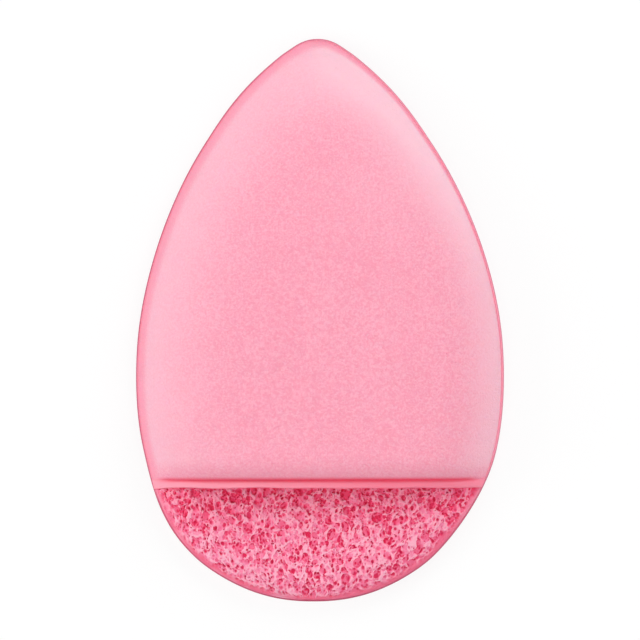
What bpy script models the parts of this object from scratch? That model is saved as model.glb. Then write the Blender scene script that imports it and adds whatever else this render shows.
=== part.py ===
"""Facial cleansing glove: a drop-shaped sponge with a padded cover that makes a pocket for the fingers.

The glove lies on its sponge side. +Z points up out of the cover, +Y to the tip of the drop and +X to the
right. The origin is on the flat underside, below the middle of the outline. All lengths are in metres.
"""
import math
from collections import namedtuple

import bmesh
import bpy
from mathutils import Vector

# Outline of the drop, seen from above
HALF_WIDTH = 0.0408             # middle line to the widest point of each side
POINT_REACH = 0.0769            # widest line to where the two side arcs would cross
TIP_RADIUS = 0.0092             # rounding of the tip
TAIL_DEPTH = 0.0501             # widest line to the round end
TAIL_FULLNESS = 2.20            # power of the round end's curve: 2 is an ellipse, more is squarer
TAIL_LEAN = 0.0012              # how far the round end sits to the left of the middle line
LEAN_START = 0.0166             # widest line to where the outline begins to lean
LEAN_LENGTH = 0.0178            # length over which it leans

# Rim, where the layers are fused by heat
RIM_WIDTH = 0.0016              # outline to the inner face of the rim
CLEARANCE = 0.0003              # gap between neighbouring pieces

# Sponge
SPONGE_THICKNESS = 0.0082       # underside to the flat top
SPONGE_EDGE_HEIGHT = 0.0032     # underside to the lower corner of the pressed edge
SPONGE_EDGE_THICKNESS = 0.0012  # thickness of the pressed edge
SPONGE_SHOULDER = 0.0070        # pressed edge to the flat top, seen from above
SPONGE_FOOT = 0.0050            # pressed edge to the flat underside, seen from above

# Pocket for the fingers, between sponge and cover
MOUTH_DISTANCE = 0.0229         # widest line to the crease at the mouth
POCKET_HEIGHT = 0.0052          # sponge to lining in the middle
POCKET_SHOULDER = 0.0180        # pressed edge to the full height, seen from above

# Cover
LINING_THICKNESS = 0.0004
FOAM_THICKNESS = 0.0036
FOAM_EDGE_THICKNESS = 0.0006    # where the foam is pressed, at the rim and at the mouth
FOAM_SHOULDER = 0.0080          # pressed edge to the full thickness, seen from above
LIP_LENGTH = 0.0040             # crease to the full thickness, where the cover rolls down to its mouth
SKIN_THICKNESS = 0.0005

# Hem, the pressed strip at the mouth
HEM_WIDTH = 0.0017
HEM_THICKNESS = 0.0012          # beside the crease
HEM_EDGE_THICKNESS = 0.0007     # at the free edge

# Number of facets
TAIL_STEPS = 11
SIDE_STEPS = 13
TIP_STEPS = 4
RIM_STEPS = 6
COLUMNS = 20
LIP_STEPS = 5
HEM_STEPS = 3

# Angles
SHARP_ANGLE = math.radians(50)
FLAT_ANGLE = math.radians(0.05)

# Heights of the pressed edges, stacked from the sponge upwards
SPONGE_EDGE_TOP = SPONGE_EDGE_HEIGHT + SPONGE_EDGE_THICKNESS
COVER_EDGE_THICKNESS = LINING_THICKNESS + FOAM_EDGE_THICKNESS + SKIN_THICKNESS + 2 * CLEARANCE
SKIN_EDGE_TOP = SPONGE_EDGE_TOP + CLEARANCE + COVER_EDGE_THICKNESS

# Arcs of the outline, measured from the widest line
SIDE_RADIUS = (HALF_WIDTH ** 2 + POINT_REACH ** 2) / (2 * HALF_WIDTH)
TIP_CENTRE = math.sqrt((SIDE_RADIUS - TIP_RADIUS) ** 2 - (SIDE_RADIUS - HALF_WIDTH) ** 2)
SIDE_TURN = math.asin(TIP_CENTRE / (SIDE_RADIUS - TIP_RADIUS))
QUARTER_TURN = math.pi / 2

Station = namedtuple("Station", "point facing")
Row = namedtuple("Row", "y centre half facing")


# Plan of the drop

def tail_station(turn):
    """A point of the round end, from 0 at its middle to a quarter turn at the widest line."""
    power = 2 / TAIL_FULLNESS
    across_share = math.sin(turn) ** power
    down_share = math.cos(turn) ** power
    point = Vector((HALF_WIDTH * across_share, -TAIL_DEPTH * down_share))
    steepness = TAIL_FULLNESS - 1
    facing = Vector((across_share ** steepness / HALF_WIDTH, -down_share ** steepness / TAIL_DEPTH))
    return Station(point, facing.normalized())


def side_station(turn):
    """A point of the long side arc, from 0 at the widest line."""
    facing = Vector((math.cos(turn), math.sin(turn)))
    return Station(facing * SIDE_RADIUS - Vector((SIDE_RADIUS - HALF_WIDTH, 0)), facing)


def tip_station(turn):
    """A point of the rounded tip, on the arc that runs on from the side."""
    facing = Vector((math.cos(turn), math.sin(turn)))
    return Station(facing * TIP_RADIUS + Vector((0, TIP_CENTRE)), facing)


def right_side():
    """Stations up the right side of the drop, from the round end to the tip."""
    tail = [tail_station(QUARTER_TURN * (step + 0.5) / TAIL_STEPS) for step in range(TAIL_STEPS)]
    side = [side_station(SIDE_TURN * step / SIDE_STEPS) for step in range(SIDE_STEPS)]
    tip_turn = QUARTER_TURN - SIDE_TURN
    tip = [tip_station(SIDE_TURN + tip_turn * (step + 0.5) / TIP_STEPS) for step in range(TIP_STEPS)]
    return tail + side + tip


STATIONS = right_side()
WIDEST_Y = -(STATIONS[0].point.y + STATIONS[-1].point.y) / 2
MOUTH_Y = WIDEST_Y - MOUTH_DISTANCE


def lean(y):
    """Sideways place of the middle line, which bends gently to the left at the round end."""
    share = (WIDEST_Y - LEAN_START - y) / LEAN_LENGTH
    share = min(max(share, 0), 1)
    return -TAIL_LEAN * share * share * (3 - 2 * share)


def full_rows(inset):
    """Rows across the whole drop, drawn in from its outline by the inset."""
    rows = []
    for station in STATIONS:
        inner = station.point - station.facing * inset
        outer_y = station.point.y + WIDEST_Y
        rows.append(Row(inner.y + WIDEST_Y, lean(outer_y), inner.x, station.facing.x))
    return rows


def row_at(rows, y):
    """The row at this y, on the straight edges between the two rows beside it."""
    for below, above in zip(rows, rows[1:]):
        if below.y <= y <= above.y:
            share = (y - below.y) / (above.y - below.y)
            return Row(*(low + (high - low) * share for low, high in zip(below, above)))
    raise ValueError("this row lies outside the drop")


def cover_rows(inset):
    """Rows from the crease at the mouth to the tip, closer together where the lip rolls down."""
    rows = full_rows(inset)
    start = MOUTH_Y + CLEARANCE / 2
    turns = [QUARTER_TURN * step / LIP_STEPS for step in range(LIP_STEPS + 1)]
    lip = [row_at(rows, start + LIP_LENGTH * (1 - math.cos(turn))) for turn in turns]
    spacing = (lip[-1].y - lip[-2].y) / 2
    return lip + [row for row in rows if row.y > lip[-1].y + spacing]


def hem_rows(inset):
    """Rows of the hem, from its free edge to the crease."""
    rows = full_rows(inset)
    end = MOUTH_Y - CLEARANCE / 2
    return [row_at(rows, end - HEM_WIDTH * (1 - step / HEM_STEPS)) for step in range(HEM_STEPS + 1)]


# Heights of the layers, for a depth inside the pressed edge and a place along the drop

def swell(depth, shoulder):
    """Rises from 0 at the edge to 1 at the shoulder, and stays there."""
    share = min(depth / shoulder, 1)
    return 1 - (1 - share) ** 2


def sponge_underside(depth, y):
    return SPONGE_EDGE_HEIGHT * (1 - swell(depth, SPONGE_FOOT))


def sponge_top(depth, y):
    return SPONGE_EDGE_TOP + (SPONGE_THICKNESS - SPONGE_EDGE_TOP) * swell(depth, SPONGE_SHOULDER)


def pocket_ceiling(depth, y):
    return sponge_top(depth, y) + CLEARANCE + POCKET_HEIGHT * swell(depth, POCKET_SHOULDER)


def lining_top(depth, y):
    return pocket_ceiling(depth, y) + LINING_THICKNESS


def foam_underside(depth, y):
    return lining_top(depth, y) + CLEARANCE


def foam_top(depth, y):
    """The foam swells both from the rim inwards and from the crease towards the tip."""
    padding = (FOAM_THICKNESS - FOAM_EDGE_THICKNESS) * swell(depth, FOAM_SHOULDER)
    padding *= swell(max(y - MOUTH_Y - CLEARANCE / 2, 0), LIP_LENGTH)
    return foam_underside(depth, y) + FOAM_EDGE_THICKNESS + padding


def skin_underside(depth, y):
    return foam_top(depth, y) + CLEARANCE


def skin_top(depth, y):
    return skin_underside(depth, y) + SKIN_THICKNESS


def hem_top(depth, y):
    """The hem thins out, rounded, to its free edge."""
    free_y = MOUTH_Y - CLEARANCE / 2 - HEM_WIDTH
    thickening = (HEM_THICKNESS - HEM_EDGE_THICKNESS) * swell(max(y - free_y, 0), HEM_WIDTH)
    return pocket_ceiling(depth, y) + HEM_EDGE_THICKNESS + thickening


# Solids

def sheet(bm, rows, height):
    """A grid stretched over the rows and lifted to the height, with columns closer at its sides."""
    last_row = len(rows) - 1
    grid = bmesh.ops.create_grid(bm, x_segments=COLUMNS, y_segments=last_row, size=1)
    for vert in grid["verts"]:
        row = rows[round((vert.co.y + 1) / 2 * last_row)]
        across_share = math.sin(vert.co.x * QUARTER_TURN)
        depth = row.half * (1 - across_share ** 2) * row.facing / 2
        vert.co = (row.centre + row.half * across_share, row.y, height(depth, row.y))
    return list({face for vert in grid["verts"] for face in vert.link_faces})


def layer(name, rows, underside, top, material):
    """A closed solid between two sheets that share one plan."""
    bm = bmesh.new()
    sheet(bm, rows, top)
    lower_faces = sheet(bm, rows, underside)
    bmesh.ops.reverse_faces(bm, faces=lower_faces)
    borders = [edge for edge in bm.edges if edge.is_boundary]
    bmesh.ops.bridge_loops(bm, edges=borders)
    bmesh.ops.dissolve_limit(bm, angle_limit=FLAT_ANGLE, verts=bm.verts, edges=bm.edges)
    return finish(name, bm, material)


def rim_top(y):
    """Upper corner of the rim: over the cover's layers it is high, round the bare sponge it is low."""
    share = (y - MOUTH_Y + HEM_WIDTH) / LIP_LENGTH
    share = min(max(share, 0), 1)
    blend_share = share * share * (3 - 2 * share)
    return SPONGE_EDGE_TOP + (SKIN_EDGE_TOP - SPONGE_EDGE_TOP) * blend_share


def rim_section(bm, station, side):
    """One closed section of the rim: a rounded nose on the outline and a flat inner face."""
    y = station.point.y + WIDEST_Y
    middle = (rim_top(y) + SPONGE_EDGE_HEIGHT) / 2
    reach = (rim_top(y) - SPONGE_EDGE_HEIGHT) / 2
    verts = []
    for step in range(RIM_STEPS + 1):
        turn = QUARTER_TURN - math.pi * step / RIM_STEPS
        place = station.point - station.facing * RIM_WIDTH * (1 - math.cos(turn))
        x = lean(y) + side * place.x
        verts.append(bm.verts.new((x, place.y + WIDEST_Y, middle + reach * math.sin(turn))))
    return [bm.edges.new(pair) for pair in zip(verts, verts[1:] + verts[:1])]


def edge_weld():
    """The fused rim: sections bridged all the way round the drop."""
    bm = bmesh.new()
    right = [rim_section(bm, station, 1) for station in STATIONS]
    left = [rim_section(bm, station, -1) for station in reversed(STATIONS)]
    loops = right + left
    for loop, following in zip(loops, loops[1:] + loops[:1]):
        bmesh.ops.bridge_loops(bm, edges=loop + following)
    bmesh.ops.recalc_face_normals(bm, faces=bm.faces)
    return finish("edge_weld", bm, plain_material("fused_foam", (0.86, 0.22, 0.34), 0.55))


# Materials and objects

def plain_material(name, colour, roughness):
    material = bpy.data.materials.new(name)
    material.use_nodes = True
    shader = material.node_tree.nodes["Principled BSDF"]
    shader.inputs["Base Color"].default_value = (*colour, 1)
    shader.inputs["Roughness"].default_value = roughness
    shader.inputs["Metallic"].default_value = 0
    material.diffuse_color = (*colour, 1)
    return material


def finish(name, bm, material):
    """Turns the finished shape into a named object."""
    mesh = bpy.data.meshes.new(name)
    bm.to_mesh(mesh)
    bm.free()
    mesh.materials.append(material)
    mesh.shade_smooth()
    mesh.set_sharp_from_angle(angle=SHARP_ANGLE)
    piece = bpy.data.objects.new(name, mesh)
    bpy.context.scene.collection.objects.link(piece)
    return piece


def clear_scene():
    for thing in list(bpy.data.objects):
        bpy.data.objects.remove(thing, do_unlink=True)


def build():
    """Sponge first, then the layers of the cover from the inside out."""
    clear_scene()
    inset = RIM_WIDTH + CLEARANCE
    over_pocket = cover_rows(inset)
    layer("sponge_body", full_rows(inset), sponge_underside, sponge_top,
          plain_material("open_sponge", (0.84, 0.20, 0.31), 0.9))
    layer("pocket_lining", over_pocket, pocket_ceiling, lining_top,
          plain_material("lining_film", (0.93, 0.42, 0.53), 0.7))
    layer("cover_foam", over_pocket, foam_underside, foam_top,
          plain_material("soft_foam", (0.95, 0.46, 0.57), 0.85))
    layer("cover_skin", over_pocket, skin_underside, skin_top,
          plain_material("smooth_skin", (0.96, 0.41, 0.53), 0.65))
    layer("mouth_hem", hem_rows(inset), pocket_ceiling, hem_top,
          plain_material("pressed_hem", (0.94, 0.26, 0.36), 0.55))
    edge_weld()


build()
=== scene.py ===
# %% [markdown]
# # A facial cleansing glove
# The glove is a drop-shaped puff of soft pink foam. Its underside is an open-cell sponge, and a padded
# cover is fused to it round the rim. The cover stops short of the round end, so the fingers slip in
# between the two. The engineering model gives the size and place of every piece, and this notebook
# dresses it: each piece is modelled again as the soft thing that it is.

# %% Load the frame
import functools
import math

import bmesh
import bpy
import numpy as np
from mathutils import Matrix, Vector, noise


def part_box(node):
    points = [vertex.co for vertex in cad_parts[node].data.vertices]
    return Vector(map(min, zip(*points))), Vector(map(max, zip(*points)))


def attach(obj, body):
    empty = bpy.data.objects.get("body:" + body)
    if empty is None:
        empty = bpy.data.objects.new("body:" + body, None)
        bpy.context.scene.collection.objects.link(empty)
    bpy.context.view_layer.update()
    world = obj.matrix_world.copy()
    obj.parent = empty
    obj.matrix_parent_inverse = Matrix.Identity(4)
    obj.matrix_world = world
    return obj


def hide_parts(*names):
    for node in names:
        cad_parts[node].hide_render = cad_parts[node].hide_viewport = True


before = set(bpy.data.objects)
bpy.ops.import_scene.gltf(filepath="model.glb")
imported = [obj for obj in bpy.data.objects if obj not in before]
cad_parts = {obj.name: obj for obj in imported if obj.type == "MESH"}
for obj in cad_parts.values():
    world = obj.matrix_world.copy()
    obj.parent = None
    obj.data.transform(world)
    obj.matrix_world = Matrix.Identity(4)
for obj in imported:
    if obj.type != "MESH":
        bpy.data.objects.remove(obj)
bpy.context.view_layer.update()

# %% [markdown]
# ## The outline
# Seen from above, the drop is made of three curves: a superellipse for the round end, one long arc for
# each side and a small arc at the tip. They could be traced point by point, but a formula stays smooth
# at any number of points. The sizes that the frame can give are measured on it, and the rest repeat the
# driving dimensions of the model.

# %% Sizes of the outline
rim_low, rim_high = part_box("edge_weld")
_, sponge_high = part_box("sponge_body")
hem_low, hem_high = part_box("mouth_hem")
_, skin_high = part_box("cover_skin")

HALF_WIDTH = (rim_high.x - rim_low.x) / 2
POINT_REACH = 0.0769
TIP_RADIUS = 0.0092
TAIL_DEPTH = 0.0501
TAIL_FULLNESS = 2.20
QUARTER_TURN = math.pi / 2

SIDE_RADIUS = (HALF_WIDTH ** 2 + POINT_REACH ** 2) / (2 * HALF_WIDTH)
TIP_CENTRE = math.sqrt((SIDE_RADIUS - TIP_RADIUS) ** 2 - (SIDE_RADIUS - HALF_WIDTH) ** 2)
SIDE_TURN = math.asin(TIP_CENTRE / (SIDE_RADIUS - TIP_RADIUS))

rim_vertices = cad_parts["edge_weld"].data.vertices
WIDEST_Y = max((vertex.co for vertex in rim_vertices), key=lambda place: place.x).y
FREE_Y = hem_low.y
CREASE_Y = hem_high.y
print("widest line at y =", round(WIDEST_Y * 1000, 2), "mm, crease at", round(CREASE_Y * 1000, 2), "mm")

# %% [markdown]
# ## What the press leaves uneven
# A pressed foam drop is never quite as regular as its formula. The round end leans over a millimetre to
# the left, and the tip half a millimetre. The flanks below the tip are a little fuller, and the sides
# above the widest line a little hollower. New arcs would leave kinks where they meet, so these are
# added to the three curves as soft humps and steps, which fade out smoothly.

# %% Leans and humps
TAIL_LEAN = 0.0014
LEAN_START = 0.0166
LEAN_LENGTH = 0.0215
TIP_LEAN = 0.0005
TIP_LEAN_LENGTH = 0.060


def hump(place, middle, reach):
    """1 at the middle, and smoothly 0 from the reach outwards."""
    return np.clip(1 - ((place - middle) / reach) ** 2, 0, 1) ** 2


def ease(share):
    """A smooth step from 0 to 1."""
    share = np.clip(share, 0, 1)
    return share * share * (3 - 2 * share)


def lean(y):
    """Sideways place of the middle line, which bends a little to the left at both ends."""
    tail = ease((WIDEST_Y - LEAN_START - y) / LEAN_LENGTH)
    tip = ease((y - rim_high.y) / TIP_LEAN_LENGTH + 1)
    return -TAIL_LEAN * tail - TIP_LEAN * tip


print("lean at the two ends, mm:", [round(float(lean(end.y)) * 1000, 2) for end in (rim_low, rim_high)])

# %% The right side of the drop, with the direction it faces
CURVE_POINTS = 700
FLANK_GAIN = 0.0006
FLANK_BELOW_TIP = 0.0100
FLANK_REACH = 0.0133
SIDE_HOLLOW = 0.00024
SIDE_HOLLOW_Y = 0.0200
SIDE_HOLLOW_REACH = 0.0245
TIP_HOLLOW_SHARE = 0.06
TIP_HOLLOW_BELOW_END = 0.0009
TIP_HOLLOW_REACH = 0.0028
TAIL_HOLLOW_SHARE = 0.03
TAIL_HOLLOW_ABOVE_END = 0.001
TAIL_HOLLOW_REACH = 0.0085


def three_curves():
    """The points of the round end, the long arc and the tip's arc, in one array."""
    turn = np.linspace(0, QUARTER_TURN, CURVE_POINTS)[1:-1]
    across = np.sin(turn) ** (2 / TAIL_FULLNESS)
    down = np.cos(turn) ** (2 / TAIL_FULLNESS)
    tail = np.stack([HALF_WIDTH * across, -TAIL_DEPTH * down], 1)
    turn = np.linspace(0, SIDE_TURN, CURVE_POINTS)[:-1]
    side = np.stack([np.cos(turn), np.sin(turn)], 1) * SIDE_RADIUS - [SIDE_RADIUS - HALF_WIDTH, 0]
    turn = np.linspace(SIDE_TURN, QUARTER_TURN, CURVE_POINTS)[:-1]
    tip = np.stack([np.cos(turn), np.sin(turn)], 1) * TIP_RADIUS + [0, TIP_CENTRE]
    return np.concatenate([tail, side, tip]) + [0, WIDEST_Y]


def right_side():
    """Points and outward directions from the round end to the tip, as two arrays."""
    points = three_curves()
    y = points[:, 1].copy()
    points[:, 0] += FLANK_GAIN * hump(y, y[-1] - FLANK_BELOW_TIP, FLANK_REACH)
    points[:, 0] -= SIDE_HOLLOW * hump(y, SIDE_HOLLOW_Y, SIDE_HOLLOW_REACH)
    points[:, 0] *= 1 - TIP_HOLLOW_SHARE * hump(y, y[-1] - TIP_HOLLOW_BELOW_END, TIP_HOLLOW_REACH)
    points[:, 0] *= 1 - TAIL_HOLLOW_SHARE * hump(y, y[0] + TAIL_HOLLOW_ABOVE_END, TAIL_HOLLOW_REACH)
    along = np.gradient(points, axis=0)
    facing = np.stack([along[:, 1], -along[:, 0]], 1)
    return points, facing / np.linalg.norm(facing, axis=1)[:, None]


OUTLINE, FACING = right_side()
print("outline from", OUTLINE[0].round(4), "to", OUTLINE[-1].round(4))

# %% [markdown]
# ## Rows across the drop
# Every layer is a height over the same plan, so all of them share one way to ask how far a point lies
# inside the edge. The plain distance to an outline has a sharp ridge along its middle. This rounded
# depth is equal to the distance near the edge and flattens towards the middle, as a cushion does.

# %% A plan: the outline, drawn in
RIM_WIDTH = 0.0016
CLEARANCE = 0.0003


class Plan:
    """The drop's outline, drawn in by an inset: half width, slant and rounded depth at any place."""

    def __init__(self, inset):
        inner = OUTLINE - FACING * inset
        self.y, self.half, self.facing = inner[:, 1], inner[:, 0], FACING[:, 0]
        self.low, self.high = self.y[0], self.y[-1]

    def row(self, y):
        return np.interp(y, self.y, self.half), np.interp(y, self.y, self.facing)

    def depth(self, x, y):
        half, facing = self.row(y)
        return np.clip((half ** 2 - (x - lean(y)) ** 2) * facing / (2 * half), 0, None)


inner_plan = Plan(RIM_WIDTH + CLEARANCE)
print("half width at the widest line:", round(float(inner_plan.row(WIDEST_Y)[0]) * 1000, 2), "mm")


# %% The swell of soft foam
def swell(share, power=1.0, softness=2.0):
    """Rises from 0 at the edge to 1 at a share of 1. A low power starts steeper, softness ends gently."""
    return (1 - (1 - np.clip(share, 0, 1)) ** softness) ** power


def leftness(x):
    """0 on the right of the drop and 1 on its left."""
    return ease(0.5 - x / HALF_WIDTH)


print("swell at quarters of the way in:", [round(float(swell(share)), 2) for share in (0.25, 0.5, 0.75)])

# %% [markdown]
# ## Turning a plan into a closed layer
# A grid from `create_grid` is stretched over the rows, once for the top and once for the underside, and
# `bridge_loops` closes the border between them. Solidify would do for an even skin, but most of these
# layers swell and thin out, so both faces get a height of their own.


# %% Reading, moving and painting points
def coordinates(mesh):
    flat = np.empty(len(mesh.vertices) * 3, np.float32)
    mesh.vertices.foreach_get("co", flat)
    return flat.reshape(-1, 3).astype(float)


def directions(mesh):
    flat = np.empty(len(mesh.vertices) * 3, np.float32)
    mesh.vertex_normals.foreach_get("vector", flat)
    return flat.reshape(-1, 3).astype(float)


def move_to(mesh, places):
    mesh.vertices.foreach_set("co", places.astype(np.float32).ravel())
    mesh.update()


def paint(mesh, name, values):
    """Stores one number a vertex, which a material can read as an attribute."""
    layer = mesh.attributes.new(name, "FLOAT", "POINT")
    layer.data.foreach_set("value", values.astype(np.float32))


# %% Where the rows go
def spread(low, high, count, crowd):
    """Places from low to high. A crowd from 0 to 1 brings them closer together towards both ends."""
    even = np.linspace(-1, 1, count)
    share = (even * (1 - crowd) + np.sin(even * QUARTER_TURN) * crowd + 1) / 2
    return low + (high - low) * share


def rows_between(low, high, step):
    return np.linspace(low, high, max(2, round((high - low) / step) + 1))


def joined(*runs):
    """Rows of several runs, without the doubles where one ends and the next begins."""
    rows = [runs[0]]
    for run in runs[1:]:
        rows.append(run[1:])
    return np.concatenate(rows)


print("five crowded rows:", spread(0, 1, 5, 0.5).round(2))

# %% A closed layer between two heights
UPPER, LOWER = 1.0, -1.0


def flat_grid(bm, rows, columns, level):
    """A flat grid from -1 to 1 both ways, with one line of points for each row, and its faces."""
    made = bmesh.ops.create_grid(bm, x_segments=columns, y_segments=len(rows) - 1, size=1,
                                 matrix=Matrix.Translation((0, 0, level)))
    return list(dict.fromkeys(face for vert in made["verts"] for face in vert.link_faces))


def stretched(grid, rows, plan, crowd):
    """The places of a flat grid's points once it is stretched over the rows of the plan."""
    y = rows[np.rint((grid[:, 1] + 1) / 2 * (len(rows) - 1)).astype(int)]
    across = grid[:, 0] * (1 - crowd) + np.sin(grid[:, 0] * QUARTER_TURN) * crowd
    return lean(y) + plan.row(y)[0] * across, y


def layer_mesh(name, plan, top, under, crowd=0.5):
    """A closed layer over a plan. Its top and its underside are each rows, columns and a height."""
    bm = bmesh.new()
    flat_grid(bm, top[0], top[1], UPPER)
    bmesh.ops.reverse_faces(bm, faces=flat_grid(bm, under[0], under[1], LOWER))
    bmesh.ops.bridge_loops(bm, edges=[edge for edge in bm.edges if edge.is_boundary])
    mesh = bpy.data.meshes.new(name)
    bm.to_mesh(mesh)
    bm.free()
    grid = coordinates(mesh)
    places = grid.copy()
    is_top = grid[:, 2] > 0
    for chosen, (rows, _, height) in ((is_top, top), (~is_top, under)):
        x, y = stretched(grid[chosen], rows, plan, crowd)
        places[chosen] = np.stack([x, y, height(plan.depth(x, y), x, y)], 1)
    move_to(mesh, places)
    mesh.shade_smooth()
    return mesh, is_top


# %% A finished piece
def piece_from(mesh, slot, material, *nodes):
    """Makes the finished mesh a piece that rides on the model and stands for its plain solids."""
    piece = bpy.data.objects.new(mesh.name, mesh)
    bpy.context.scene.collection.objects.link(piece)
    mesh.materials.append(material)
    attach(piece, "root")
    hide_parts(*nodes)
    triangles = sum(len(face.vertices) - 2 for face in mesh.polygons)
    print(f"{mesh.name}: {len(mesh.vertices)} points, {triangles} triangles")
    return piece


# %% [markdown]
# ## Writing materials as sums
# A shader is maths on colours and numbers. Placing Math nodes by hand hides the sum that they make, so
# a small class wraps a socket, and ordinary signs on it add the nodes.


# %% Sockets with signs
class Wire:
    """A node's output that can be added, taken away, multiplied and raised to a power."""

    def __init__(self, finish, socket):
        self.finish = finish
        self.socket = socket

    def math(self, operation, *values):
        return self.finish.node("ShaderNodeMath", {"operation": operation}, dict(enumerate(values)))

    def __add__(self, other):
        return self.math("ADD", self, other)

    def __sub__(self, other):
        return self.math("SUBTRACT", self, other)

    def __rsub__(self, other):
        return self.math("SUBTRACT", other, self)

    def __mul__(self, other):
        return self.math("MULTIPLY", self, other)

    def __pow__(self, other):
        return self.math("POWER", self, other)

    __radd__ = __add__
    __rmul__ = __mul__

    def clamped(self):
        return self.finish.node("ShaderNodeClamp", {}, {0: self})


# %% A finish and its nodes
MIX_FACTOR, MIX_FIRST, MIX_SECOND = 0, 6, 7
MIXED_COLOUR = 2


class Finish:
    """A material and its nodes. One method makes any node: its type, its settings, its sockets."""

    def __init__(self, name, **constants):
        self.material = bpy.data.materials.new(name)
        self.material.use_nodes = True
        self.tree = self.material.node_tree
        self.shader = self.tree.nodes["Principled BSDF"]
        for socket, value in constants.items():
            self.shader.inputs[socket.replace("_", " ")].default_value = value
        self.place = self.node("ShaderNodeTexCoord", output="Object")

    def node(self, kind, settings=None, sockets=None, output=0):
        made = self.tree.nodes.new(kind)
        for name, value in (settings or {}).items():
            setattr(made, name, value)
        for name, value in (sockets or {}).items():
            self.plug(made.inputs[name], value)
        return Wire(self, made.outputs[output])

    def plug(self, socket, value):
        if isinstance(value, Wire):
            self.tree.links.new(value.socket, socket)
        else:
            socket.default_value = value

    def noise(self, size, detail=2.0, roughness=0.5):
        """Cloudy noise whose blotches are about this many metres across."""
        sockets = {"Vector": self.place, "Scale": 1 / size, "Detail": detail, "Roughness": roughness}
        return self.node("ShaderNodeTexNoise", {}, sockets)

    def cells(self, size):
        """Distance to the nearest of scattered points, which lie about this many metres apart."""
        return self.node("ShaderNodeTexVoronoi", {}, {"Vector": self.place, "Scale": 1 / size})

    def attribute(self, name):
        return self.node("ShaderNodeAttribute", {"attribute_name": name}, output="Fac")

    def blend(self, factor, first, second):
        """Goes from the first colour to the second as the factor goes from 0 to 1."""
        sockets = {MIX_FACTOR: factor, MIX_FIRST: first, MIX_SECOND: second}
        return self.node("ShaderNodeMix", {"data_type": "RGBA"}, sockets, output=MIXED_COLOUR)

    def surface(self, colour, roughness, height, relief):
        """Plugs what varies into the shader. The relief is the bump's depth in metres."""
        bump = self.node("ShaderNodeBump", {}, {"Strength": 1.0, "Distance": relief, "Height": height})
        self.plug(self.shader.inputs["Base Color"], colour)
        self.plug(self.shader.inputs["Roughness"], roughness)
        self.plug(self.shader.inputs["Normal"], bump)
        return self.material


# %% [markdown]
# ## The pinks
# The foam is dyed through, so every piece has the same dye. What differs is the light that it lets in:
# pressed foam is denser and deeper pink, and a pore is rose because the light bounces in it. Some pinks
# are painted light: a paler pink is a painted highlight on the cover's shoulders, and the deeper pinks
# and roses are partly painted shade, in the creases, under the hem, along the tail and on the rim's outer
# side. One pink under more or less light could do for all of them, but a named pink for each state is
# easier to match.


# %% Colours
def rgb(red, green, blue):
    return (red, green, blue, 1.0)


PALE_PINK = rgb(0.970, 0.411, 0.525)
SOFT_PINK = rgb(0.930, 0.303, 0.412)
HIGHLIGHT_PINK = rgb(0.990, 0.530, 0.625)
EDGE_PINK = rgb(0.995, 0.300, 0.415)
PRESSED_SHADE_PINK = rgb(0.870, 0.150, 0.255)
CREASE_SHADE_ROSE = rgb(0.930, 0.065, 0.150)
RIM_PINK = rgb(0.950, 0.320, 0.430)
RIM_PALE_PINK = rgb(0.970, 0.380, 0.490)
FUSED_SHADE_ROSE = rgb(0.470, 0.048, 0.115)
HEM_PINK = rgb(0.950, 0.290, 0.385)
HEM_PALE_PINK = rgb(0.970, 0.350, 0.450)
STRUT_PINK = rgb(0.970, 0.465, 0.585)
CELL_PINK = rgb(0.930, 0.235, 0.395)
PORE_ROSE = rgb(0.780, 0.020, 0.112)
HEM_SHADOW_ROSE = rgb(1.000, 0.085, 0.200)
FOAM_GLOW = (1.0, 0.6, 0.6)
print("from pale to pressed:", [colour[:3] for colour in (PALE_PINK, SOFT_PINK, PRESSED_SHADE_PINK)])

# %% [markdown]
# ## The velvety skin
# The cover's skin is foam with cells too small to see, so it looks like velvet: matte, with a fine grain
# and a few specks. A flat colour would look like plastic. Noise of two sizes gives the grain and the
# slow mottle, and two scatters of small dots lighten and darken it. The attributes carry a painted
# highlight on the shoulders, painted shade on the lip, in the crease and along the left edge, and a
# deeper band at the rim that is partly pressed foam and partly painted shade.

# %% The cover's skin
MOTTLE_SIZE = 0.011
GRAIN_SIZE = 0.0005
PINHOLE_SPACING = 0.0009
SPECK_SPACING = 0.0011
FLECK_SPACING = 0.0013
DOT_SHARPNESS = 7.0
PINHOLE_SHARPNESS = 1.6
MOTTLE_TONE, GRAIN_TONE, DOT_TONE, TONE_SHIFT = 0.6, 4.4, 2.5, 1.95
MOTTLE_RELIEF, GRAIN_RELIEF, DOT_RELIEF, PINHOLE_RELIEF = 0.8, 0.7, 0.2, 0.3
SKIN_RELIEF = 0.00036


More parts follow.
